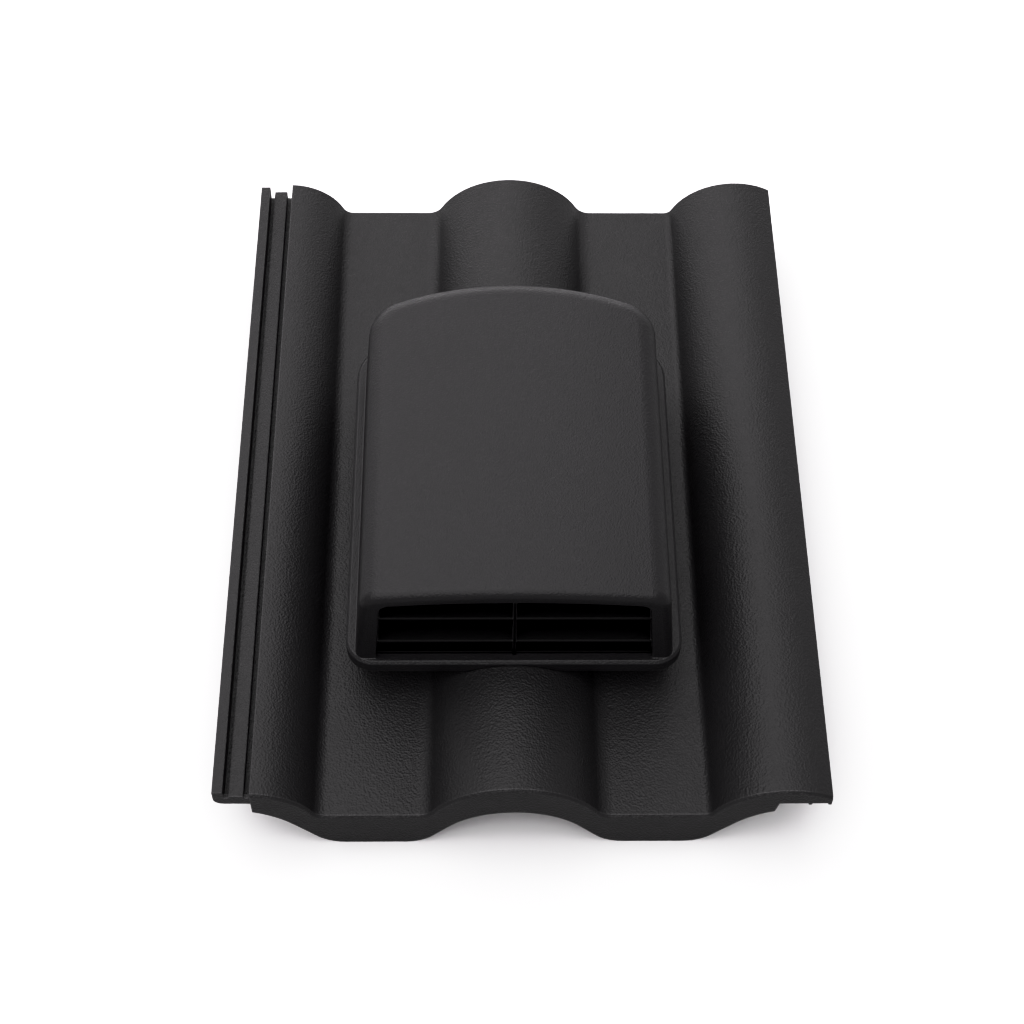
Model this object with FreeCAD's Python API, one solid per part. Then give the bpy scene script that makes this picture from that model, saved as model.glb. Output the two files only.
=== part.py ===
import FreeCAD, Part
import math
import os

# Roof tile vent: a moulded double roman tile, its air port, hood, louvre, duct spigot and screen.
# Sizes are in millimetres. X runs across the tile, +Y up the slope from the nose, +Z out of the roof.
# The model is worked out from the centre roll's axis and the nose, then moved to the base centre.

# Tile
TILE_LENGTH = 420.0
COVER_WIDTH = 300.0
PAN_TOP = 29.7
SHELL_WALL = 2.6
NOSE_WALL = 2.4
NOSE_BEVEL = 1.4

# Rolls: rise above the pan, half span between the pans, and radius of the coves at their feet.
# The edge roll is cut just inside its crown.
CENTRE_RISE = 30.3
CENTRE_SPAN = 51.2
CENTRE_COVE = 10.0
COVER_RISE = 27.5
COVER_SPAN = 42.5
COVER_COVE = 5.0
EDGE_RISE = 25.5
EDGE_SPAN = 38.5
EDGE_COVE = 6.8
EDGE_CUT = 1.6

# Nose: the arched lower edge that sits over the course below
NOSE_ARCH = 43.5
NOSE_RAMP_DEG = 51.5
NOSE_TOE = 18.5
CENTRE_ARCH_RISE = 35.3
SIDE_ARCH_RISE = 39.0
COVER_LIP_WIDTH = 28.4
COVER_LIP_FOOT = 45.2
COVER_LIP_LEAN = 1.5

# Side lap: the cover's ribs drop into the next tile's channel
COVER_REACH = 21.9
LAP_GAP = 1.7
LAP_CLEARANCE = 0.5
LAP_RIB_WALL = 1.6
CHANNEL_FLOOR = 43.2
CHANNEL_RIB_WIDTH = 5.5
CHANNEL_BAR_WIDTH = 7.6
CHANNEL_CORNER = 5.0
CHANNEL_SILL_DROP = 2.0
BAR_WALL = 2.0

# Underside
RIB_WALL = 2.0
RIB_DEPTH = 7.0
NOSE_RIB_Y = 46.0
HEAD_RIB_Y = 324.0
NIB_WIDTH = 34.0
NIB_LENGTH = 14.0
NIB_FACE_TO_HEAD = 28.0

# Hood
HOOD_FRONT = 75.5
HOOD_REAR = 295.2
HOOD_HALF = 83.8
HOOD_TOP = 127.5
HOOD_WALL = 2.4
HOOD_SIDE_DRAFT_DEG = 5.1
HOOD_REAR_DRAFT_DEG = 12.8
HOOD_REAR_CORNER = 22.0
HOOD_ARCH = 198.0
HOOD_CROWN_RISE = 5.0
HOOD_SIDE_ROUNDING = 12.0
HOOD_FRONT_ROUNDING = 5.0
HOOD_BEVEL_SHARE = 0.8

# Hood flange and its drip lip
FLANGE_MARGIN = 5.2
FLANGE_FRONT_MARGIN = 3.0
FLANGE_FRONT_CORNER = 15.0
FLANGE_WALL = 2.5
FLANGE_BEVEL = 1.4
FLANGE_SEAT = 10.0
LIP_DEPTH = 8.4
LIP_WALL = 2.4
ROLL_COPING = 1.4

# Plinth on the tile that carries the hood
PLINTH_SETBACK = 16.0
PLINTH_FIT = 0.6
PLINTH_FRONT_CORNER = 6.0
DECK_CLEARANCE = 1.0
DECK_WALL = 2.6
DECK_RIB_DEPTH = 8.0
DECK_RIB_OFFSET = 60.0
DECK_CROSS_RIB_OFFSET = 66.0
SILL_SEAT = 4.0

# Snap hooks that hold the hood down
HOOK_WALL = 2.4
HOOK_WIDTH = 14.0
HOOK_REACH = 9.0
HOOK_CATCH = 1.4
HOOK_RAMP = 3.4
HOOK_OFFSET = 50.0
HOOK_FIT = 0.5

# Mouth and louvre
MOUTH_JAMB = 10.8
MOUTH_LEAN_DEG = 4.3
MOUTH_HEAD = 8.2
MOUTH_CORNER = 6.5
MOUTH_ARCH = 620.0
LOUVRE_FIT = 0.4
LOUVRE_FACE = 2.6
LOUVRE_EDGE_GAP = 2.6
LOUVRE_LIP = 0.6
LOUVRE_SLEEVE = 2.0
LOUVRE_DEPTH = 15.0
LOUVRE_SILL = 2.0
BLADE_COUNT = 2
BLADE_LOWEST_SHARE = 0.235
BLADE_PITCH_SHARE = 0.407
BLADE_RECESS = 2.0
BLADE_DEPTH = 13.0
BLADE_WALL = 2.2
BLADE_SLOPE_DEG = 12.0
MULLION_WALL = 1.8
MULLION_DEPTH = 9.0
RETAINER_WALL = 2.0
RETAINER_FIT = 0.2
RETAINER_CATCH = 1.4
RETAINER_FOOT = 3.0
RETAINER_HEAD = 15.0

# Air port, duct spigot and insect screen
PORT_Y = 196.0
SPIGOT_RADIUS = 50.0
SPIGOT_WALL = 2.5
SPIGOT_FOOT = 8.0
SPIGOT_CHAMFER = 1.5
SHANK_STEP = 0.8
SHANK_FIT = 0.5
SPIGOT_RIM = 2.5
UPSTAND_HEIGHT = 16.0
UPSTAND_WALL = 2.6
LUG_COUNT = 4
LUG_SPAN_DEG = 16.0
LUG_CATCH = 1.5
LUG_RAMP = 3.4
LUG_FIT = 0.5
SCREEN_WALL = 2.0
SCREEN_FIT = 0.2
LEDGE_SPAN_DEG = 8.0
LEDGE_REACH = 1.5
LEDGE_DEPTH = 1.5
SLOT_WIDTH = 4.0
SLOT_LENGTH = 30.0
SLOT_BAR = 2.0
SLOT_MARGIN = 1.8
SLOT_LEAST = 5.0

# Levels and edges that follow from the sizes above
INNER_SIDE_BEVEL = HOOD_BEVEL_SHARE * (HOOD_SIDE_ROUNDING - HOOD_WALL)
INNER_REAR_BEVEL = HOOD_BEVEL_SHARE * (HOOD_REAR_CORNER - HOOD_WALL)
INNER_FRONT_BEVEL = HOOD_BEVEL_SHARE * (HOOD_FRONT_ROUNDING - HOOD_WALL)
PAN_INNER = CENTRE_SPAN
PAN_OUTER = (COVER_WIDTH + EDGE_CUT - EDGE_SPAN - COVER_SPAN - COVER_REACH - LAP_GAP) / 2
PAN_MIDDLE = (PAN_INNER + PAN_OUTER) / 2
COVER_EDGE = PAN_OUTER + COVER_SPAN + COVER_REACH
ROLL_EDGE = COVER_EDGE + LAP_GAP - COVER_WIDTH
PAN_UNDER = PAN_TOP - SHELL_WALL
DECK_TOP = PAN_TOP + CENTRE_RISE + DECK_CLEARANCE
DECK_UNDER = DECK_TOP - DECK_WALL
SILL_TOP = DECK_TOP + FLANGE_WALL
LIP_FOOT = SILL_TOP - LIP_DEPTH
FLANGE_HALF = HOOD_HALF + FLANGE_MARGIN
FLANGE_FRONT = HOOD_FRONT - FLANGE_FRONT_MARGIN
FLANGE_REAR = HOOD_REAR + FLANGE_MARGIN
FLANGE_CORNER = HOOD_REAR_CORNER + FLANGE_MARGIN
FLANGE_ARCH = HOOD_ARCH + FLANGE_MARGIN
PLINTH_FRONT = FLANGE_FRONT + PLINTH_SETBACK
MOUTH_HALF = HOOD_HALF - MOUTH_JAMB
MOUTH_TOP = HOOD_TOP - MOUTH_HEAD
BLADE_LOWEST = SILL_TOP + BLADE_LOWEST_SHARE * (MOUTH_TOP - SILL_TOP)
BLADE_PITCH = BLADE_PITCH_SHARE * (MOUTH_TOP - SILL_TOP)
UPSTAND_TOP = DECK_TOP + UPSTAND_HEIGHT
SHANK_RADIUS = SPIGOT_RADIUS + SHANK_STEP
SPIGOT_BORE = SPIGOT_RADIUS - SPIGOT_WALL
UPSTAND_BORE = SHANK_RADIUS + SHANK_FIT
UPSTAND_RADIUS = UPSTAND_BORE + UPSTAND_WALL
RIM_TOP = UPSTAND_TOP + SPIGOT_RIM
SCREEN_RADIUS = SPIGOT_BORE - SCREEN_FIT
SCREEN_FOOT = RIM_TOP - SCREEN_WALL
CHANNEL_SETBACK = NOSE_WALL + LAP_CLEARANCE
LAP_RIB_FOOT = CHANNEL_FLOOR + LAP_CLEARANCE
GROOVE_WIDTH = LAP_RIB_WALL + 2 * LAP_CLEARANCE
BAR_RIGHT = COVER_EDGE - LAP_RIB_WALL - LAP_CLEARANCE - COVER_WIDTH
BAR_LEFT = BAR_RIGHT - CHANNEL_BAR_WIDTH
CHANNEL_RIB_RIGHT = BAR_LEFT - GROOVE_WIDTH
CHANNEL_EDGE = CHANNEL_RIB_RIGHT - CHANNEL_RIB_WIDTH
CHANNEL_UNDER = CHANNEL_FLOOR - SHELL_WALL
CHANNEL_SILL_END = CHANNEL_SETBACK + NOSE_WALL
LAP_RIB_LEFT = CHANNEL_RIB_RIGHT + LAP_CLEARANCE + COVER_WIDTH
NIB_FACE = TILE_LENGTH - NIB_FACE_TO_HEAD

# Overlap between shapes that are fused, overrun of shapes that are cut away, and closeness to an edge
BITE = 1.0
OVERRUN = 20.0
NEARNESS = 0.01

RIGHT_ANGLE = math.pi / 2
BASE_SHIFT = FreeCAD.Vector(-(COVER_EDGE + CHANNEL_EDGE) / 2, -TILE_LENGTH / 2, 0)


def upright(y):
    """Places a flat outline in the XZ plane at a depth."""
    return lambda u, v: FreeCAD.Vector(u, y, v)


def level(z):
    """Places a flat outline in the XY plane at a height."""
    return lambda u, v: FreeCAD.Vector(u, v, z)


def sideways(x):
    """Places a flat outline in the YZ plane."""
    return lambda u, v: FreeCAD.Vector(x, u, v)


def line(place, start, end):
    return Part.LineSegment(place(*start), place(*end)).toShape()


def arc(place, centre, radius, start, end):
    """An arc from one angle to another, in radians."""
    points = []
    for angle in (start, (start + end) / 2, end):
        points.append(place(centre[0] + radius * math.cos(angle), centre[1] + radius * math.sin(angle)))
    return Part.Arc(*points).toShape()


def prism(edges, direction):
    """Extrudes the closed outline that the edges make."""
    wire = Part.Wire(Part.__sortEdges__(edges))
    return Part.Face(wire).extrude(direction)


def polygon(place, points, direction):
    corners = [place(*corner) for corner in points]
    corners.append(corners[0])
    return Part.Face(Part.makePolygon(corners)).extrude(direction)


def box(x_range, y_range, z_range):
    size = [high - low for low, high in (x_range, y_range, z_range)]
    corner = FreeCAD.Vector(x_range[0], y_range[0], z_range[0])
    return Part.makeBox(size[0], size[1], size[2], corner)


def along_y(length):
    return FreeCAD.Vector(0, length, 0)


def up(height):
    return FreeCAD.Vector(0, 0, height)


def fused(shapes):
    """One solid made of overlapping or touching shapes."""
    return shapes[0].multiFuse(shapes[1:]).removeSplitter()


def one_solid(shape):
    return shape.Solids[0] if len(shape.Solids) == 1 else shape


def mirrored(shape):
    """The shape with its twin on the other side of the centre roll's axis."""
    return [shape, shape.mirror(FreeCAD.Vector(0, 0, 0), FreeCAD.Vector(1, 0, 0))]


# Cross-section of the tile

def make_roll(axis, rise, span, cove):
    """A roll whose crown arc runs into a cove on each side at the pan."""
    crown = (span ** 2 + rise ** 2) / (2 * rise) - cove
    centre = PAN_TOP + rise - crown
    tilt = math.atan2(PAN_TOP + cove - centre, span)
    return {"axis": axis, "crown": crown, "centre": centre, "span": span, "cove": cove, "tilt": tilt}


CENTRE_ROLL = make_roll(0.0, CENTRE_RISE, CENTRE_SPAN, CENTRE_COVE)
COVER_ROLL = make_roll(PAN_OUTER + COVER_SPAN, COVER_RISE, COVER_SPAN, COVER_COVE)
EDGE_ROLL = make_roll(-PAN_OUTER - EDGE_SPAN, EDGE_RISE, EDGE_SPAN, EDGE_COVE)


def crown_height(roll, x, sink):
    return roll["centre"] + math.sqrt((roll["crown"] - sink) ** 2 - (x - roll["axis"]) ** 2)


def crown_angle(roll, x, sink):
    return math.acos((x - roll["axis"]) / (roll["crown"] - sink))


def crown_arc(place, roll, sink, start, end):
    return arc(place, (roll["axis"], roll["centre"]), roll["crown"] - sink, start, end)


def cove_arc(place, roll, sink, side):
    """The cove on the right (1) or left (-1) of a roll."""
    centre = (roll["axis"] + side * roll["span"], PAN_TOP + roll["cove"])
    start = 3 * RIGHT_ANGLE - side * (RIGHT_ANGLE - roll["tilt"])
    return arc(place, centre, roll["cove"] + sink, start, 3 * RIGHT_ANGLE)


def skin_edges(place, sink):
    """The tile's cross-section line from its roll edge to its cover edge, sunk by a depth."""
    low = PAN_TOP - sink
    edge_start = crown_angle(EDGE_ROLL, ROLL_EDGE, sink)
    cover_end = crown_angle(COVER_ROLL, COVER_EDGE, sink)
    half_turn = 2 * RIGHT_ANGLE
    return [
        crown_arc(place, EDGE_ROLL, sink, edge_start, EDGE_ROLL["tilt"]),
        cove_arc(place, EDGE_ROLL, sink, 1),
        line(place, (-PAN_OUTER, low), (-PAN_INNER, low)),
        cove_arc(place, CENTRE_ROLL, sink, -1),
        crown_arc(place, CENTRE_ROLL, sink, half_turn - CENTRE_ROLL["tilt"], CENTRE_ROLL["tilt"]),
        cove_arc(place, CENTRE_ROLL, sink, 1),
        line(place, (PAN_INNER, low), (PAN_OUTER, low)),
        cove_arc(place, COVER_ROLL, sink, -1),
        crown_arc(place, COVER_ROLL, sink, half_turn - COVER_ROLL["tilt"], cover_end),
    ]


def skin_band(y_range, upper, lower):
    """The layer between two depths under the tile's top surface, along a stretch of the tile."""
    place = upright(y_range[0])
    edges = skin_edges(place, upper) + skin_edges(place, lower)
    for roll, x in ((EDGE_ROLL, ROLL_EDGE), (COVER_ROLL, COVER_EDGE)):
        edges.append(line(place, (x, crown_height(roll, x, upper)), (x, crown_height(roll, x, lower))))
    return prism(edges, along_y(y_range[1] - y_range[0]))


def above_underside():
    """All the space above the tile's underside."""
    place = upright(0)
    ceiling = HOOD_TOP + OVERRUN
    left = (ROLL_EDGE, crown_height(EDGE_ROLL, ROLL_EDGE, SHELL_WALL))
    right = (COVER_EDGE, crown_height(COVER_ROLL, COVER_EDGE, SHELL_WALL))
    edges = skin_edges(place, SHELL_WALL)
    edges.append(line(place, left, (ROLL_EDGE, ceiling)))
    edges.append(line(place, (ROLL_EDGE, ceiling), (COVER_EDGE, ceiling)))
    edges.append(line(place, (COVER_EDGE, ceiling), right))
    return prism(edges, along_y(TILE_LENGTH))


# Nose of the tile

def arch_flank(place, axis, rise, side, start_x):
    """Half of a nose arch: its arc from start_x, a straight ramp, and the rounded toe."""
    ramp = math.radians(NOSE_RAMP_DEG)
    centre_z = rise - NOSE_ARCH
    start_angle = math.acos((start_x - axis) / NOSE_ARCH)
    ramp_x = axis + side * NOSE_ARCH * math.sin(ramp)
    ramp_z = centre_z + NOSE_ARCH * math.cos(ramp)
    toe_z = NOSE_TOE * (1 - math.cos(ramp))
    toe_x = ramp_x + side * (ramp_z - toe_z) / math.tan(ramp)
    flat_x = toe_x + side * NOSE_TOE * math.sin(ramp)
    edges = [
        arc(place, (axis, centre_z), NOSE_ARCH, start_angle, RIGHT_ANGLE - side * ramp),
        line(place, (ramp_x, ramp_z), (toe_x, toe_z)),
        arc(place, (flat_x, NOSE_TOE), NOSE_TOE, 3 * RIGHT_ANGLE - side * ramp, 3 * RIGHT_ANGLE),
    ]
    return edges, flat_x


def arch_height(axis, rise, x):
    return rise - NOSE_ARCH + math.sqrt(NOSE_ARCH ** 2 - (x - axis) ** 2)


def nose_wall():
    """The downturned front wall, whose foot follows the course below."""
    place = upright(0)
    step_x = COVER_EDGE - COVER_LIP_WIDTH
    side_axis = COVER_WIDTH / 2
    left_edges, left_flat = arch_flank(place, -side_axis, SIDE_ARCH_RISE, 1, ROLL_EDGE)
    centre_left, flat_left = arch_flank(place, 0, CENTRE_ARCH_RISE, -1, 0)
    centre_right, flat_right = arch_flank(place, 0, CENTRE_ARCH_RISE, 1, 0)
    right_edges, right_flat = arch_flank(place, side_axis, SIDE_ARCH_RISE, -1, step_x)
    edges = skin_edges(place, 0) + left_edges + centre_left + centre_right + right_edges
    edges.append(line(place, (left_flat, 0), (flat_left, 0)))
    edges.append(line(place, (flat_right, 0), (right_flat, 0)))
    left_foot = (ROLL_EDGE, arch_height(-side_axis, SIDE_ARCH_RISE, ROLL_EDGE))
    edges.append(line(place, left_foot, (ROLL_EDGE, crown_height(EDGE_ROLL, ROLL_EDGE, 0))))
    step_foot = (step_x, arch_height(side_axis, SIDE_ARCH_RISE, step_x))
    step_top = (step_x + COVER_LIP_LEAN, COVER_LIP_FOOT)
    cover_foot = (COVER_EDGE, COVER_LIP_FOOT)
    edges.append(line(place, step_foot, step_top))
    edges.append(line(place, step_top, cover_foot))
    edges.append(line(place, cover_foot, (COVER_EDGE, crown_height(COVER_ROLL, COVER_EDGE, 0))))
    return prism(edges, along_y(NOSE_WALL))


def bevel_nose(shell):
    """Bevels the edge where the top surface turns down into the nose."""
    skin = Part.Compound(skin_edges(upright(0), 0))
    rim = []
    for edge in shell.Edges:
        middle = edge.valueAt((edge.FirstParameter + edge.LastParameter) / 2)
        if abs(middle.y) < NEARNESS and skin.distToShape(Part.Vertex(middle))[0] < NEARNESS:
            rim.append(edge)
    return shell.makeChamfer(NOSE_BEVEL, rim)


# Side lap

def channel_bar_top():
    """The bar stops just under the next tile's cover."""
    return crown_height(COVER_ROLL, BAR_RIGHT + COVER_WIDTH, SHELL_WALL) - LAP_CLEARANCE


def channel_sill_top():
    return channel_bar_top() - CHANNEL_SILL_DROP


def channel():
    """The channel beside the edge roll: a rib, a bar, a groove beside each and a low sill at the nose."""
    rib_top = crown_height(COVER_ROLL, CHANNEL_RIB_RIGHT + COVER_WIDTH, SHELL_WALL) - LAP_CLEARANCE
    bar_top = channel_bar_top()
    roll_top = crown_height(EDGE_ROLL, ROLL_EDGE, SHELL_WALL) + SHELL_WALL / 2
    inner = ROLL_EDGE + SHELL_WALL
    length = TILE_LENGTH - CHANNEL_SETBACK
    place = upright(CHANNEL_SETBACK)
    corner = (CHANNEL_EDGE + CHANNEL_CORNER, CHANNEL_UNDER + CHANNEL_CORNER)
    path = [
        (CHANNEL_EDGE, CHANNEL_UNDER + CHANNEL_CORNER),
        (CHANNEL_EDGE, rib_top),
        (CHANNEL_RIB_RIGHT, rib_top),
        (CHANNEL_RIB_RIGHT, CHANNEL_FLOOR),
        (BAR_LEFT, CHANNEL_FLOOR),
        (BAR_LEFT, bar_top),
        (BAR_RIGHT, bar_top),
        (BAR_RIGHT, CHANNEL_FLOOR),
        (ROLL_EDGE, CHANNEL_FLOOR),
        (ROLL_EDGE, roll_top),
        (inner, roll_top),
        (inner, CHANNEL_UNDER),
        (CHANNEL_EDGE + CHANNEL_CORNER, CHANNEL_UNDER),
    ]
    edges = [line(place, start, end) for start, end in zip(path, path[1:])]
    edges.append(arc(place, corner, CHANNEL_CORNER, 2 * RIGHT_ANGLE, 3 * RIGHT_ANGLE))
    sill_x = (CHANNEL_EDGE + BITE, ROLL_EDGE + BITE)
    sill = box(sill_x, (CHANNEL_SETBACK, CHANNEL_SILL_END), (CHANNEL_FLOOR - BITE, channel_sill_top()))
    hollow_x = (BAR_LEFT + BAR_WALL, BAR_RIGHT - BAR_WALL)
    hollow_y = (CHANNEL_SILL_END, TILE_LENGTH + OVERRUN)
    hollow = box(hollow_x, hollow_y, (CHANNEL_UNDER - OVERRUN, bar_top - BAR_WALL))
    return fused([prism(edges, along_y(length)), sill]).cut(hollow)


def lap_ribs():
    """The cover's edge wall and inner rib, which drop into the next tile's grooves and over its sill."""
    notch_y = (NOSE_WALL, CHANNEL_SILL_END + LAP_CLEARANCE)
    notch_z = (0, channel_sill_top() + LAP_CLEARANCE)
    notch = box((LAP_RIB_LEFT - BITE, COVER_EDGE + BITE), notch_y, notch_z)
    ribs = []
    for left in (LAP_RIB_LEFT, COVER_EDGE - LAP_RIB_WALL):
        right = left + LAP_RIB_WALL
        top = crown_height(COVER_ROLL, right, 0) - SHELL_WALL / 2
        ribs.append(box((left, right), (0, TILE_LENGTH), (LAP_RIB_FOOT, top)).cut(notch))
    return ribs


# Underside of the tile

def cross_ribs():
    """Stiffening ribs that follow the rolls, short of the side lap."""
    clear = box((ROLL_EDGE, COVER_EDGE - COVER_LIP_WIDTH), (0, TILE_LENGTH), (0, HOOD_TOP))
    ribs = []
    for y in (NOSE_RIB_Y, HEAD_RIB_Y):
        band = skin_band((y - RIB_WALL / 2, y + RIB_WALL / 2), SHELL_WALL / 2, SHELL_WALL + RIB_DEPTH)
        ribs.append(band.common(clear))
    return ribs


def pan_ribs():
    """A rib along the middle of each pan, from the nose to the upper cross rib."""
    half = RIB_WALL / 2
    x_range = (PAN_MIDDLE - half, PAN_MIDDLE + half)
    z_range = (PAN_UNDER - RIB_DEPTH, PAN_TOP - SHELL_WALL / 2)
    return mirrored(box(x_range, (NOSE_WALL / 2, HEAD_RIB_Y), z_range))


def nibs():
    """Cored nibs at the head whose lower faces hook over the batten."""
    half = NIB_WIDTH / 2
    inner = half - SHELL_WALL
    head = NIB_FACE + NIB_LENGTH
    block = box((PAN_MIDDLE - half, PAN_MIDDLE + half), (NIB_FACE, head), (0, PAN_UNDER + BITE))
    core_x = (PAN_MIDDLE - inner, PAN_MIDDLE + inner)
    core = box(core_x, (NIB_FACE + SHELL_WALL, head + OVERRUN), (SHELL_WALL, PAN_UNDER))
    return mirrored(block.cut(core))


# Outlines seen from above, with an arched rear

def arched_outline(place, half, front, rear, front_corner, rear_corner, arch, lean=0.0):
    """A straight front, sides that may lean in, an arched rear and rounded corners.

    A front corner may be square, and is square where the sides lean.
    """
    along = (-math.sin(lean), math.cos(lean))
    start = (half - rear_corner * along[1], front + rear_corner * along[0] - rear + arch)
    reach = start[0] * along[0] + start[1] * along[1]
    run = math.sqrt((arch - rear_corner) ** 2 - start[0] ** 2 - start[1] ** 2 + reach ** 2) - reach
    corner = (start[0] + run * along[0], rear - arch + start[1] + run * along[1])
    turn = math.atan2(corner[1] - rear + arch, corner[0])
    side = (corner[0] + rear_corner * along[1], corner[1] - rear_corner * along[0])
    front_u = half - front_corner
    front_v = front + front_corner
    half_turn = 2 * RIGHT_ANGLE
    edges = [
        line(place, (-front_u, front), (front_u, front)),
        line(place, (half, front_v), side),
        arc(place, corner, rear_corner, lean, turn),
        arc(place, (0, rear - arch), arch, turn, half_turn - turn),
        arc(place, (-corner[0], corner[1]), rear_corner, half_turn - turn, half_turn - lean),
        line(place, (-side[0], side[1]), (-half, front_v)),
    ]
    if front_corner > 0:
        edges.append(arc(place, (front_u, front_v), front_corner, -RIGHT_ANGLE, 0))
        edges.append(arc(place, (-front_u, front_v), front_corner, half_turn, 3 * RIGHT_ANGLE))
    return edges


def flange_prism(inset, front, front_corner, z_range):
    """The flange's outline drawn in by a distance, with its own front."""
    sizes = (FLANGE_HALF - inset, front, FLANGE_REAR - inset)
    corners = (front_corner, FLANGE_CORNER - inset, FLANGE_ARCH - inset)
    edges = arched_outline(level(z_range[0]), *sizes, *corners)
    return prism(edges, up(z_range[1] - z_range[0]))


# Plinth on the tile

def plinth_prism(inset, z_range):
    gap = LIP_WALL + PLINTH_FIT + inset
    return flange_prism(gap, PLINTH_FRONT + inset, PLINTH_FRONT_CORNER - inset, z_range)


def plinth():
    """The raised box under the hood, standing on the pans and rolls."""
    return plinth_prism(0, (0, DECK_TOP)).common(above_underside())


def plinth_cavity():
    return plinth_prism(SHELL_WALL, (-OVERRUN, DECK_UNDER))


def deck_ribs():
    """Ribs under the deck that frame the port."""
    half = RIB_WALL / 2
    z_range = (DECK_UNDER - DECK_RIB_DEPTH, DECK_UNDER + DECK_WALL / 2)
    reach = (-FLANGE_HALF, FLANGE_HALF)
    ribs = []
    for side in (-1, 1):
        x = side * DECK_RIB_OFFSET
        y = PORT_Y + side * DECK_CROSS_RIB_OFFSET
        ribs.append(box((x - half, x + half), (FLANGE_FRONT, FLANGE_REAR), z_range))
        ribs.append(box(reach, (y - half, y + half), z_range))
    trim = plinth_prism(SHELL_WALL / 2, (0, DECK_TOP))
    return [rib.common(trim) for rib in ribs]


def port_cylinder(radius, z_range):
    return Part.makeCylinder(radius, z_range[1] - z_range[0], FreeCAD.Vector(0, PORT_Y, z_range[0]))


def hook_slots():
    """Slots in the deck that the hood's hooks pass through."""
    outer = FLANGE_HALF - FLANGE_SEAT + HOOK_FIT
    x_range = (outer - HOOK_WALL - 2 * HOOK_FIT, outer)
    slots = []
    for y in (PORT_Y - HOOK_OFFSET, PORT_Y + HOOK_OFFSET):
        half = HOOK_WIDTH / 2 + HOOK_FIT
        slots += mirrored(box(x_range, (y - half, y + half), (DECK_UNDER - OVERRUN, DECK_TOP + OVERRUN)))
    return slots


def tile_base():
    """The tile moulding with its plinth, deck, port upstand, side lap, ribs and nibs."""
    skin = fused([skin_band((0, TILE_LENGTH), 0, SHELL_WALL), nose_wall()])
    tile = fused([bevel_nose(skin), channel(), plinth()] + lap_ribs() + cross_ribs() + pan_ribs() + nibs())
    tile = tile.cut(plinth_cavity())
    upstand = port_cylinder(UPSTAND_RADIUS, (DECK_UNDER + DECK_WALL / 2, UPSTAND_TOP))
    tile = fused([tile, upstand] + deck_ribs())
    bore = port_cylinder(UPSTAND_BORE, (0, UPSTAND_TOP + OVERRUN))
    return tile.cut(Part.Compound([bore] + hook_slots()))


# Hood

def sloped(y, z, tilt):
    """Places a flat outline on a plane through a line across the tile, tilted back from level."""
    return lambda u, v: FreeCAD.Vector(u, y + v * math.cos(tilt), z + v * math.sin(tilt))


def crown_radius():
    half = HOOD_HALF - (HOOD_TOP - SILL_TOP) * math.tan(math.radians(HOOD_SIDE_DRAFT_DEG))
    return (half ** 2 + HOOD_CROWN_RISE ** 2) / (2 * HOOD_CROWN_RISE)


def crown_prism(inset):
    """The space under the hood's crowned top."""
    radius = crown_radius() - inset
    centre = HOOD_TOP - inset - radius
    spread = math.asin(FLANGE_HALF / radius)
    edge_z = centre + radius * math.cos(spread)
    place = upright(0)
    edges = [
        arc(place, (0, centre), radius, RIGHT_ANGLE - spread, RIGHT_ANGLE + spread),
        line(place, (-FLANGE_HALF, edge_z), (-FLANGE_HALF, 0)),
        line(place, (-FLANGE_HALF, 0), (FLANGE_HALF, 0)),
        line(place, (FLANGE_HALF, 0), (FLANGE_HALF, edge_z)),
    ]
    return prism(edges, along_y(TILE_LENGTH))


def rear_prism(inset):
    """The space in front of the hood's arched rear wall, which slopes forward as it rises."""
    slope = math.radians(HOOD_REAR_DRAFT_DEG)
    radius = HOOD_ARCH - inset
    spread = math.acos(FLANGE_HALF / radius)
    place = sloped(HOOD_REAR, SILL_TOP, slope)
    end_v = radius * math.sin(spread) - HOOD_ARCH
    front_v = -HOOD_ARCH - TILE_LENGTH
    edges = [
        arc(place, (0, -HOOD_ARCH), radius, spread, 2 * RIGHT_ANGLE - spread),
        line(place, (-FLANGE_HALF, end_v), (-FLANGE_HALF, front_v)),
        line(place, (-FLANGE_HALF, front_v), (FLANGE_HALF, front_v)),
        line(place, (FLANGE_HALF, front_v), (FLANGE_HALF, end_v)),
    ]
    axis = FreeCAD.Vector(0, -math.sin(slope), math.cos(slope))
    body = prism(edges, axis * (2 * HOOD_TOP))
    body.translate(axis * -HOOD_TOP)
    return body


def hood_half(inset, z):
    """Half the hood's width at a height, drawn in square to the sloping side by a depth."""
    draft = math.radians(HOOD_SIDE_DRAFT_DEG)
    return HOOD_HALF - inset / math.cos(draft) - (z - SILL_TOP) * math.tan(draft)


def side_prism(inset, front, z_range):
    """The space between the hood's sloping side walls."""
    low, high = z_range
    half_low = hood_half(inset, low)
    half_high = hood_half(inset, high)
    corners = [(-half_low, low), (half_low, low), (half_high, high), (-half_high, high)]
    return polygon(upright(front), corners, along_y(TILE_LENGTH))


def hood_block(inset):
    """The hood's form with sharp edges, drawn in by a depth."""
    sides = side_prism(inset, HOOD_FRONT + inset, (SILL_TOP, HOOD_TOP + HOOD_SIDE_ROUNDING))
    return sides.common(rear_prism(inset)).common(crown_prism(inset)).Solids[0]


def rear_corners(body):
    """The upright edges between the hood's sides and its arched rear."""
    middle = HOOD_REAR - HOOD_ARCH
    return [edge for edge in body.Edges if edge.CenterOfMass.y > middle and edge.BoundBox.ZLength > LIP_DEPTH]


def top_rim(body):
    """The edges round the hood's top, without the front one."""
    top = max(body.Faces, key=lambda face: face.CenterOfMass.z)
    front = min(edge.CenterOfMass.y for edge in top.Edges)
    return [edge for edge in top.Edges if edge.CenterOfMass.y > front + BITE]


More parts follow.
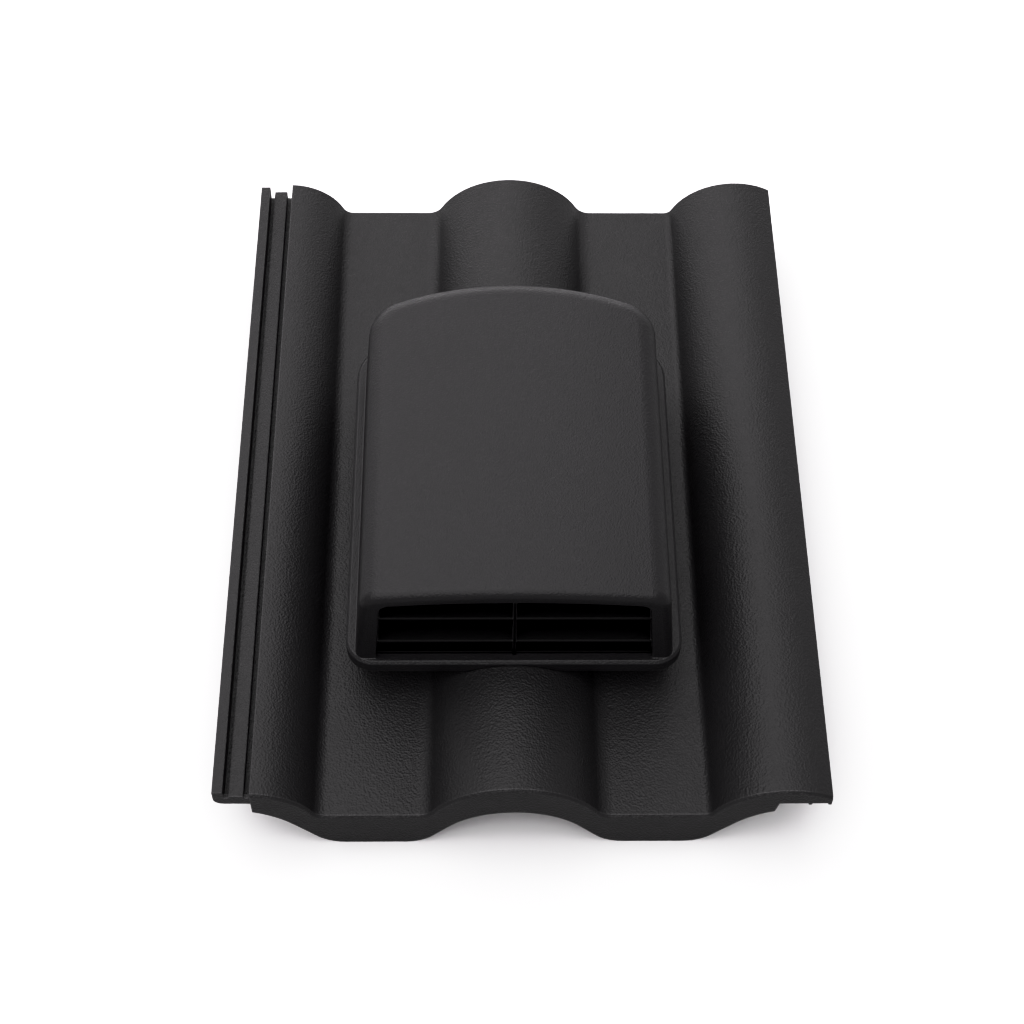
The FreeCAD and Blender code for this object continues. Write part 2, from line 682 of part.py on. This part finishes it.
def front_ring(body):
    """The edges round the hood's front, without the one at the sill."""
    front = min(body.Faces, key=lambda face: face.CenterOfMass.y)
    return [edge for edge in front.Edges if edge.CenterOfMass.z > SILL_TOP + BITE]


def hood_outside():
    body = hood_block(0)
    body = body.makeFillet(HOOD_REAR_CORNER, rear_corners(body))
    body = body.makeFillet(HOOD_SIDE_ROUNDING, top_rim(body))
    return body.makeFillet(HOOD_FRONT_ROUNDING, front_ring(body))


def hood_inside():
    """The hood's hollow, with bevels that keep a full wall under the outer roundings."""
    body = hood_block(HOOD_WALL)
    body = body.makeChamfer(INNER_REAR_BEVEL, rear_corners(body))
    body = body.makeChamfer(INNER_SIDE_BEVEL, top_rim(body))
    return body.makeChamfer(INNER_FRONT_BEVEL, front_ring(body))


def mouth_outline(place, inset, foot):
    """The mouth's outline from a height upwards: leaning sides and an arched top."""
    lean = math.radians(MOUTH_LEAN_DEG)
    half = MOUTH_HALF - inset / math.cos(lean) - (foot - SILL_TOP) * math.tan(lean)
    corners = (0, MOUTH_CORNER - inset, MOUTH_ARCH - inset)
    return arched_outline(place, half, foot, MOUTH_TOP - inset, *corners, lean)


def mouth_prism(inset, foot, y_range):
    return prism(mouth_outline(upright(y_range[0]), inset, foot), along_y(y_range[1] - y_range[0]))


def flange():
    """The hood's flange with its bevelled edge and the drip lip, coped over the centre roll."""
    corner = FLANGE_FRONT_CORNER
    plate = flange_prism(0, FLANGE_FRONT, corner, (LIP_FOOT, SILL_TOP))
    top = max(plate.Faces, key=lambda face: face.CenterOfMass.z)
    plate = plate.makeChamfer(FLANGE_BEVEL, top.Edges)
    under = (LIP_FOOT - OVERRUN, DECK_TOP)
    plate = plate.cut(flange_prism(LIP_WALL, FLANGE_FRONT + LIP_WALL, corner - LIP_WALL, under))
    centre = FreeCAD.Vector(0, 0, CENTRE_ROLL["centre"])
    roll = Part.makeCylinder(CENTRE_ROLL["crown"] + ROLL_COPING, TILE_LENGTH, centre, FreeCAD.Vector(0, 1, 0))
    plate = plate.cut(roll.common(box((-FLANGE_HALF, FLANGE_HALF), (0, TILE_LENGTH), (0, DECK_TOP))))
    seat = flange_prism(FLANGE_SEAT, PLINTH_FRONT + SILL_SEAT, BITE, (DECK_TOP - OVERRUN, SILL_TOP + OVERRUN))
    return plate.cut(seat)


def hooks():
    """Snap hooks on the flange's inner edge that catch under the deck."""
    outer = FLANGE_HALF - FLANGE_SEAT
    catch = DECK_UNDER - HOOK_FIT
    foot = DECK_TOP - HOOK_REACH
    profile = [
        (outer - HOOK_WALL, SILL_TOP),
        (outer, SILL_TOP),
        (outer, catch),
        (outer + HOOK_CATCH, catch),
        (outer, catch - HOOK_RAMP),
        (outer, foot),
        (outer - HOOK_WALL, foot),
    ]
    shapes = []
    for y in (PORT_Y - HOOK_OFFSET, PORT_Y + HOOK_OFFSET):
        shapes += mirrored(polygon(upright(y - HOOK_WIDTH / 2), profile, along_y(HOOK_WIDTH)))
    return shapes


def retainers():
    """Beads inside the hood's side walls that the louvre's frame snaps behind."""
    front = HOOD_FRONT + HOOD_WALL + LOUVRE_FIT + LOUVRE_FACE + RETAINER_FIT
    z_range = (SILL_TOP + RETAINER_FOOT, HOOD_TOP - RETAINER_HEAD)
    inner = side_prism(HOOD_WALL + LOUVRE_EDGE_GAP + RETAINER_CATCH, front, z_range)
    outer = side_prism(HOOD_WALL / 2, front, z_range)
    slab = box((-HOOD_HALF, HOOD_HALF), (front, front + RETAINER_WALL), z_range)
    return slab.common(outer.cut(inner)).Solids


def hood():
    """The moulded hood: crowned shell, mouth, flange with drip lip, hooks and retainers."""
    shell = hood_outside().cut(hood_inside())
    shell = shell.cut(mouth_prism(0, SILL_TOP, (0, HOOD_FRONT + HOOD_SIDE_ROUNDING)))
    return fused([shell, flange()] + hooks() + retainers())


# Louvre

def blade(front_y, front_z):
    """A sloping blade with a rounded front edge."""
    slope = math.radians(BLADE_SLOPE_DEG)
    half = BLADE_WALL / 2
    run = BLADE_DEPTH * math.cos(slope)
    climb = BLADE_DEPTH * math.sin(slope)
    side = (half * math.sin(slope), half * math.cos(slope))
    place = sideways(-MOUTH_HALF)
    nose = (front_y + half, front_z)
    tail = (nose[0] + run, nose[1] + climb)
    upper = ((nose[0] - side[0], nose[1] + side[1]), (tail[0] - side[0], tail[1] + side[1]))
    lower = ((nose[0] + side[0], nose[1] - side[1]), (tail[0] + side[0], tail[1] - side[1]))
    edges = [
        arc(place, nose, half, RIGHT_ANGLE + slope, 3 * RIGHT_ANGLE + slope),
        line(place, *upper),
        line(place, upper[1], lower[1]),
        line(place, *lower),
    ]
    return prism(edges, FreeCAD.Vector(2 * MOUTH_HALF, 0, 0))


def louvre_face(front):
    """The plate behind the hood's front wall, just inside the hood's hollow."""
    gap = HOOD_WALL + LOUVRE_EDGE_GAP
    draft = math.radians(HOOD_SIDE_DRAFT_DEG)
    corners = (0, HOOD_SIDE_ROUNDING, crown_radius() - gap)
    sizes = (hood_half(gap, SILL_TOP), SILL_TOP, HOOD_TOP - gap)
    return prism(arched_outline(upright(front), *sizes, *corners, draft), along_y(LOUVRE_FACE))


def louvre_grille():
    """A frame behind the mouth, with a sleeve, sloping blades and a mullion."""
    front = HOOD_FRONT + HOOD_WALL + LOUVRE_FIT
    rear = front + LOUVRE_DEPTH
    blade_y = HOOD_FRONT + BLADE_RECESS
    sleeve = mouth_prism(LOUVRE_LIP - LOUVRE_SLEEVE, SILL_TOP, (front, rear))
    aperture = mouth_prism(LOUVRE_LIP, SILL_TOP + LOUVRE_SILL, (0, rear + OVERRUN))
    frame = louvre_face(front).fuse(sleeve).cut(aperture)
    half = MULLION_WALL / 2
    bars = [box((-half, half), (blade_y, blade_y + MULLION_DEPTH), (SILL_TOP, MOUTH_TOP))]
    for number in range(BLADE_COUNT):
        bars.append(blade(blade_y, BLADE_LOWEST + number * BLADE_PITCH))
    inside = mouth_prism(LOUVRE_LIP / 2, SILL_TOP, (0, rear))
    return fused([frame] + [bar.common(inside) for bar in bars])


# Duct spigot and insect screen

def ring_pieces(profile, span, first):
    """Short pieces of a ring about the port's axis, evenly spaced from a first angle."""
    origin = FreeCAD.Vector(0, 0, 0)
    axis = FreeCAD.Vector(0, 0, 1)
    corners = [upright(0)(*corner) for corner in profile + profile[:1]]
    face = Part.Face(Part.makePolygon(corners))
    pieces = []
    for number in range(LUG_COUNT):
        piece = face.revolve(origin, axis, span)
        piece.rotate(origin, axis, first + number * 360.0 / LUG_COUNT - span / 2)
        piece.translate(FreeCAD.Vector(0, PORT_Y, 0))
        pieces.append(piece)
    return pieces


def lugs():
    """Snap lugs on the spigot that catch under the deck."""
    catch = DECK_UNDER - LUG_FIT
    inner = SPIGOT_RADIUS - SPIGOT_WALL / 2
    foot = catch - LUG_RAMP
    profile = [(inner, catch), (SHANK_RADIUS + LUG_CATCH, catch), (SHANK_RADIUS, foot), (inner, foot)]
    return ring_pieces(profile, LUG_SPAN_DEG, 180.0 / LUG_COUNT)


def screen_ledges():
    """Ledges in the spigot's mouth that the insect screen rests on."""
    outer = SPIGOT_BORE + SPIGOT_WALL / 2
    inner = SPIGOT_BORE - LEDGE_REACH
    rise = outer - inner
    profile = [(outer, SCREEN_FOOT), (inner, SCREEN_FOOT), (inner, SCREEN_FOOT - LEDGE_DEPTH)]
    profile.append((outer, SCREEN_FOOT - LEDGE_DEPTH - rise))
    return ring_pieces(profile, LEDGE_SPAN_DEG, 0.0)


def hose_spigot():
    """A sleeve that hangs by its rim on the upstand and takes a duct hose below its thicker shank."""
    tube = port_cylinder(SPIGOT_RADIUS, (SPIGOT_FOOT, UPSTAND_TOP))
    foot = min(tube.Edges, key=lambda edge: edge.CenterOfMass.z)
    tube = tube.makeChamfer(SPIGOT_CHAMFER, [foot])
    shank = port_cylinder(SHANK_RADIUS, (DECK_UNDER - LUG_FIT - LUG_RAMP, UPSTAND_TOP))
    rim = port_cylinder(UPSTAND_RADIUS, (UPSTAND_TOP, RIM_TOP))
    body = fused([tube, shank, rim] + lugs()).cut(port_cylinder(SPIGOT_BORE, (0, RIM_TOP)))
    return fused([body] + screen_ledges())


def screen_slots():
    """Rows of narrow slots inside the screen's edge."""
    radius = SCREEN_RADIUS - SLOT_MARGIN
    row_pitch = SLOT_WIDTH + SLOT_BAR
    column_pitch = SLOT_LENGTH + SLOT_BAR
    rows = int((radius - SLOT_WIDTH) / row_pitch)
    columns = math.ceil(radius / column_pitch)
    z_range = (UPSTAND_TOP, HOOD_TOP)
    slots = []
    for row in range(-rows, rows + 1):
        y = row * row_pitch
        chord = math.sqrt(radius ** 2 - (abs(y) + SLOT_WIDTH / 2) ** 2)
        for column in range(-columns, columns + 1):
            middle = column * column_pitch
            if abs(middle) - SLOT_LENGTH / 2 > chord - SLOT_LEAST:
                continue
            left = max(middle - SLOT_LENGTH / 2, -chord)
            right = min(middle + SLOT_LENGTH / 2, chord)
            y_range = (PORT_Y + y - SLOT_WIDTH / 2, PORT_Y + y + SLOT_WIDTH / 2)
            slots.append(box((left, right), y_range, z_range))
    return slots


def insect_screen():
    """A slotted disc that rests on the ledges in the spigot's mouth."""
    disc = port_cylinder(SCREEN_RADIUS, (SCREEN_FOOT, RIM_TOP))
    return disc.cut(Part.Compound(screen_slots()))


NODES = {
    "tile_base": tile_base,
    "hood": hood,
    "louvre_grille": louvre_grille,
    "hose_spigot": hose_spigot,
    "insect_screen": insect_screen,
}

os.makedirs("parts", exist_ok=True)
for name, build in NODES.items():
    shape = one_solid(build())
    shape.translate(BASE_SHIFT)
    shape.exportStep(os.path.join("parts", name + ".step"))
    print(name, "solids", len(shape.Solids), "valid", shape.isValid(), "volume", round(shape.Volume))
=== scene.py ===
import math

import bpy
from mathutils import Matrix, Vector

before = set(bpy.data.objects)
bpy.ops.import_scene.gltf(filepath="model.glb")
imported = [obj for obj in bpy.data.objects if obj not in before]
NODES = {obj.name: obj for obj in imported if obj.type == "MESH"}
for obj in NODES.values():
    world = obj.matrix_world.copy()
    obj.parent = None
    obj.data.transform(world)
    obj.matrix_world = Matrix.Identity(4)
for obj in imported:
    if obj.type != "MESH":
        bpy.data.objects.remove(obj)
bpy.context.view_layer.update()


# Camera, fitted to the photo's tile corners, roll ends and pan edges
CAMERA_PLACE = Vector((-0.0192, -0.6537, 0.9766))
CAMERA_YAW_DEG = 1.387
CAMERA_PITCH_DEG = 56.17
CAMERA_ROLL_DEG = 1.107
CAMERA_LENS = 69.98
CAMERA_SENSOR = 36.0

# Colour of the world's light and of both lights
TINT = (1.0, 0.982, 0.992)

# World: an even level, and a glow low behind the head. Each range below is of the X (to the right),
# Y (to the head) or Z (up) of the direction that the light comes from.
FOOT_SIDE_LIGHT = 0.45
HEAD_SIDE_LIGHT = 0.5
LEVEL_RANGE_Y = (-0.7, 0.1)
GLOW = 2.7
GLOW_HEIGHT = 0.75
GLOW_RANGE_Y = (-0.15, 0.35)
GLOW_MIDDLE = -0.18
GLOW_RANGE_X = (0.1, 1.05)
GLOW_SIDE_SHARE = 0.15

# Lights: a soft box near the head, which the camera doesn't see, and a wide light overhead
NEAR_BOX_PLACE = Vector((-0.09, 0.28, 0.58))
NEAR_BOX_SIZE = (0.80, 0.66)
NEAR_BOX_GLOW = 1.55
OVERHEAD_STRENGTH = 3.3
OVERHEAD_SPREAD_DEG = 84.0
OVERHEAD_DIRECTION = Vector((-0.16, -0.30, 0.94))

# Tone: the full black, and a curve of all channels that shows the pale floor as white
BLACK_LEVEL = 0.003
ALL_CHANNELS = 3
TONE_POINTS = ((0.0, 0.0), (0.10, 0.10), (0.21, 0.42), (0.47, 1.0), (1.0, 1.0))

# Plastic: (scale, detail, roughness) of the noise, and what it changes
GLOSS_NOISE = (120.0, 3.0, 0.55)
GLOSS_LESS, GLOSS_MORE = 0.05, 0.07
MOTTLE_NOISE = (38.0, 4.0, 0.6)

# Grain: small cells, with softer folds over them at shares of the cells' scale and strength
CELL_SMOOTHNESS = 0.7
CELL_HEIGHT = 0.0004
FOLD_SCALE_SHARE = 0.45
FOLD_DETAIL, FOLD_ROUGHNESS = 4.0, 0.6
FOLD_STRENGTH_SHARE = 0.4
FOLD_HEIGHT = 0.0005

# Edges: a painted highlight (a paler colour) and a real shiny coat where the rounded normal turns away from
# the plain one
BEVEL_SAMPLES = 6
EDGE_COSINES = (0.99, 0.85)
# Painted highlight: the pale colour that edges are mixed towards
PAINTED_EDGE_HIGHLIGHT = (0.030, 0.0288, 0.0305, 1.0)
COAT_ROUGHNESS = 0.25
BELOW_PART = -0.01
EDGE_MARK_RISE = 0.002

# Shades that each plastic is mottled between
TILE_SHADES = ((0.0082, 0.0079, 0.0084, 1.0), (0.0108, 0.0104, 0.0111, 1.0))
HOOD_SHADES = ((0.0094, 0.0090, 0.0097, 1.0), (0.0112, 0.0107, 0.0116, 1.0))
# The louvre's tones are darker than the other plastics': painted shade for the inside of the mouth
LOUVRE_PAINTED_SHADE_TONES = ((0.0020, 0.0019, 0.0021, 1.0), (0.0028, 0.0027, 0.0029, 1.0))
INNER_SHADES = ((0.0048, 0.0046, 0.0050, 1.0), (0.0064, 0.0062, 0.0067, 1.0))

# Floor, a little under the part so that the two don't share a plane
FLOOR_SIZE = 60.0
FLOOR_HEIGHT = -0.0003
FLOOR_NOISE = (1.3, 3.0, 0.5)
FLOOR_SHADES = ((0.29, 0.29, 0.2915, 1.0), (0.31, 0.31, 0.3115, 1.0))
FLOOR_ROUGHNESS = 0.9


class Tree:
    """A node tree, with the few kinds of node that the world and the materials need."""

    def __init__(self, tree):
        self.tree = tree

    def fill(self, node, inputs):
        """Link each input that is given another node's output, and set the others."""
        for key, value in inputs.items():
            if isinstance(value, bpy.types.NodeSocket):
                self.tree.links.new(value, node.inputs[key])
            else:
                node.inputs[key].default_value = value

    def node(self, kind, inputs, **settings):
        made = self.tree.nodes.new(kind)
        for key, value in settings.items():
            setattr(made, key, value)
        self.fill(made, inputs)
        return made

    def place(self, kind):
        return self.node("ShaderNodeTexCoord", {}).outputs[kind]

    def axes(self, place):
        return self.node("ShaderNodeSeparateXYZ", {"Vector": place}).outputs

    def calculated(self, operation, *values):
        made = self.node("ShaderNodeMath", dict(enumerate(values)), operation=operation)
        return made.outputs["Value"]

    def ranged(self, value, start, end, kind="LINEAR"):
        """Carry a value from one range to another, held at the ends."""
        ends = dict(zip(("From Min", "From Max", "To Min", "To Max"), (*start, *end)))
        made = self.node("ShaderNodeMapRange", {"Value": value, **ends}, interpolation_type=kind)
        return made.outputs["Result"]


class Material(Tree):
    """A new material, with its textures laid on the object's own coordinates."""

    def __init__(self, name):
        self.material = bpy.data.materials.new(name)
        self.material.use_nodes = True
        super().__init__(self.material.node_tree)
        self.surface = self.tree.nodes["Principled BSDF"]
        self.on_object = self.place("Object")

    def noise(self, scale, detail, roughness):
        inputs = {"Vector": self.on_object, "Scale": scale, "Detail": detail, "Roughness": roughness}
        return self.node("ShaderNodeTexNoise", inputs).outputs["Fac"]

    def cells(self, scale, smoothness):
        inputs = {"Vector": self.on_object, "Scale": scale, "Smoothness": smoothness}
        return self.node("ShaderNodeTexVoronoi", inputs, feature="SMOOTH_F1").outputs["Distance"]

    def mixed(self, share, first, second):
        inputs = {"Factor": share, "A": first, "B": second}
        return self.node("ShaderNodeMix", inputs, data_type="RGBA").outputs["Result"]

    def bumped(self, height, strength, distance, normal):
        inputs = {"Height": height, "Strength": strength, "Distance": distance, "Normal": normal}
        return self.node("ShaderNodeBump", inputs).outputs["Normal"]

    def rounded(self, radius):
        return self.node("ShaderNodeBevel", {"Radius": radius}, samples=BEVEL_SAMPLES).outputs["Normal"]

    def on_edges(self, rounded, value, lowest):
        """Give the value at edges that lie above a height, and nothing elsewhere."""
        plain = self.node("ShaderNodeNewGeometry", {}).outputs["Normal"]
        cosine = self.node("ShaderNodeVectorMath", {0: rounded, 1: plain}, operation="DOT_PRODUCT")
        edge = self.ranged(cosine.outputs["Value"], EDGE_COSINES, (0.0, value))
        height = self.axes(self.on_object)["Z"]
        above = self.ranged(height, (lowest, lowest + EDGE_MARK_RISE), (0.0, 1.0))
        return self.calculated("MULTIPLY", edge, above)


def add_camera():
    yaw, pitch, roll = (math.radians(a) for a in (CAMERA_YAW_DEG, CAMERA_PITCH_DEG, CAMERA_ROLL_DEG))
    level_share = math.cos(pitch)
    forward = Vector((math.sin(yaw) * level_share, math.cos(yaw) * level_share, -math.sin(pitch)))
    level = Vector((math.cos(yaw), -math.sin(yaw), 0.0))
    above = level.cross(forward)
    right = math.cos(roll) * level + math.sin(roll) * above
    up = right.cross(forward)
    data = bpy.data.cameras.new("camera")
    data.sensor_width = CAMERA_SENSOR
    data.sensor_fit = "HORIZONTAL"
    data.lens = CAMERA_LENS
    camera = bpy.data.objects.new("camera", data)
    turn = Matrix((right, up, -forward)).transposed()
    camera.matrix_world = Matrix.Translation(CAMERA_PLACE) @ turn.to_4x4()
    bpy.context.scene.collection.objects.link(camera)
    bpy.context.scene.camera = camera


def add_world():
    world = bpy.data.worlds.new("studio")
    world.use_nodes = True
    tree = Tree(world.node_tree)
    x, y, z = tree.axes(tree.place("Generated"))
    off_middle = tree.calculated("ABSOLUTE", tree.calculated("SUBTRACT", x, GLOW_MIDDLE))
    sideways = tree.ranged(off_middle, GLOW_RANGE_X, (1.0, GLOW_SIDE_SHARE), "SMOOTHSTEP")
    behind = tree.ranged(y, GLOW_RANGE_Y, (0.0, 1.0), "SMOOTHSTEP")
    low = tree.ranged(z, (0.0, GLOW_HEIGHT), (GLOW, 0.0))
    glow = tree.calculated("MULTIPLY", tree.calculated("MULTIPLY", sideways, behind), low)
    level = tree.ranged(y, LEVEL_RANGE_Y, (FOOT_SIDE_LIGHT, HEAD_SIDE_LIGHT), "SMOOTHSTEP")
    strength = tree.calculated("ADD", glow, level)
    tree.fill(tree.tree.nodes["Background"], {"Color": (*TINT, 1.0), "Strength": strength})
    bpy.context.scene.world = world


def add_light(name, kind, direction):
    data = bpy.data.lights.new(name, kind)
    data.color = TINT
    light = bpy.data.objects.new(name, data)
    light.rotation_euler = direction.to_track_quat("Z", "Y").to_euler()
    bpy.context.scene.collection.objects.link(light)
    return light


def add_near_box():
    box = add_light("near_box", "AREA", NEAR_BOX_PLACE)
    box.location = NEAR_BOX_PLACE
    box.data.shape = "RECTANGLE"
    box.data.size, box.data.size_y = NEAR_BOX_SIZE
    box.data.energy = NEAR_BOX_GLOW * math.pi * NEAR_BOX_SIZE[0] * NEAR_BOX_SIZE[1]
    box.visible_camera = False


def add_overhead():
    overhead = add_light("overhead", "SUN", OVERHEAD_DIRECTION)
    overhead.data.energy = OVERHEAD_STRENGTH
    overhead.data.angle = math.radians(OVERHEAD_SPREAD_DEG)


def set_tone():
    view = bpy.context.scene.view_settings
    view.view_transform = "Standard"
    view.use_curve_mapping = True
    tone = view.curve_mapping
    tone.black_level = (BLACK_LEVEL,) * 3
    tone.extend = "HORIZONTAL"
    points = tone.curves[ALL_CHANNELS].points
    points[0].location, points[1].location = TONE_POINTS[0], TONE_POINTS[-1]
    for place in TONE_POINTS[1:-1]:
        points.new(*place)
    tone.update()


def plastic(name, shades, rough, shine, highlight_and_coat_share, grain, relief, edge, lowest=BELOW_PART):
    """A dark moulded plastic: grained skin, faint mottling, uneven gloss, and shiny rounded edges with a
    painted highlight.
    """
    made = Material(name)
    gloss = made.ranged(made.noise(*GLOSS_NOISE), (0.0, 1.0), (rough - GLOSS_LESS, rough + GLOSS_MORE))
    edges = made.rounded(edge)
    highlight_and_coat = made.on_edges(edges, highlight_and_coat_share, lowest)
    mottled = made.mixed(made.noise(*MOTTLE_NOISE), *shades)
    cells = made.bumped(made.cells(grain, CELL_SMOOTHNESS), relief, CELL_HEIGHT, edges)
    folds = made.noise(grain * FOLD_SCALE_SHARE, FOLD_DETAIL, FOLD_ROUGHNESS)
    made.fill(made.surface, {
        # Painted highlight: the colour is lightened towards a pale grey on edges; the coat on the same
        # edges is real gloss
        "Base Color": made.mixed(highlight_and_coat, mottled, PAINTED_EDGE_HIGHLIGHT),
        "Roughness": gloss,
        "Specular IOR Level": shine,
        "Coat Weight": highlight_and_coat,
        "Coat Roughness": COAT_ROUGHNESS,
        "Coat Normal": edges,
        "Normal": made.bumped(folds, relief * FOLD_STRENGTH_SHARE, FOLD_HEIGHT, cells),
    })
    return made.material


def paint(node, material):
    slots = NODES[node].material_slots
    for slot in slots:
        slot.material = material
    if not slots:
        NODES[node].data.materials.append(material)


def paint_nodes():
    paint("tile_base", plastic("tile_plastic", TILE_SHADES, rough=0.43, shine=0.25, highlight_and_coat_share=0.70,
                               grain=950.0, relief=0.75, edge=0.0010))
    paint("hood", plastic("hood_plastic", HOOD_SHADES, rough=0.33, shine=0.20, highlight_and_coat_share=0.60,
                          grain=1200.0, relief=0.50, edge=0.0009))
    # The louvre: darker tones as painted shade in the mouth, and its painted edge highlight only on edges
    # above 69 mm
    paint("louvre_grille", plastic("louvre_plastic", LOUVRE_PAINTED_SHADE_TONES, rough=0.40, shine=0.08, highlight_and_coat_share=1.00,
                                   grain=1600.0, relief=0.12, edge=0.0008, lowest=0.069))
    paint("hose_spigot", plastic("spigot_plastic", INNER_SHADES, rough=0.40, shine=0.19, highlight_and_coat_share=0.40,
                                 grain=1500.0, relief=0.15, edge=0.0008))
    paint("insect_screen", plastic("screen_plastic", INNER_SHADES, rough=0.40, shine=0.19, highlight_and_coat_share=0.40,
                                   grain=1500.0, relief=0.15, edge=0.0004))


def add_floor():
    bpy.ops.mesh.primitive_plane_add(size=FLOOR_SIZE, location=(0.0, 0.0, FLOOR_HEIGHT))
    floor = bpy.context.object
    floor.name = "floor"
    made = Material("pale_floor")
    tone = made.mixed(made.noise(*FLOOR_NOISE), *FLOOR_SHADES)
    made.fill(made.surface, {"Base Color": tone, "Roughness": FLOOR_ROUGHNESS})
    floor.data.materials.append(made.material)


paint_nodes()
set_tone()
add_camera()
add_world()
add_near_box()
add_overhead()
add_floor()
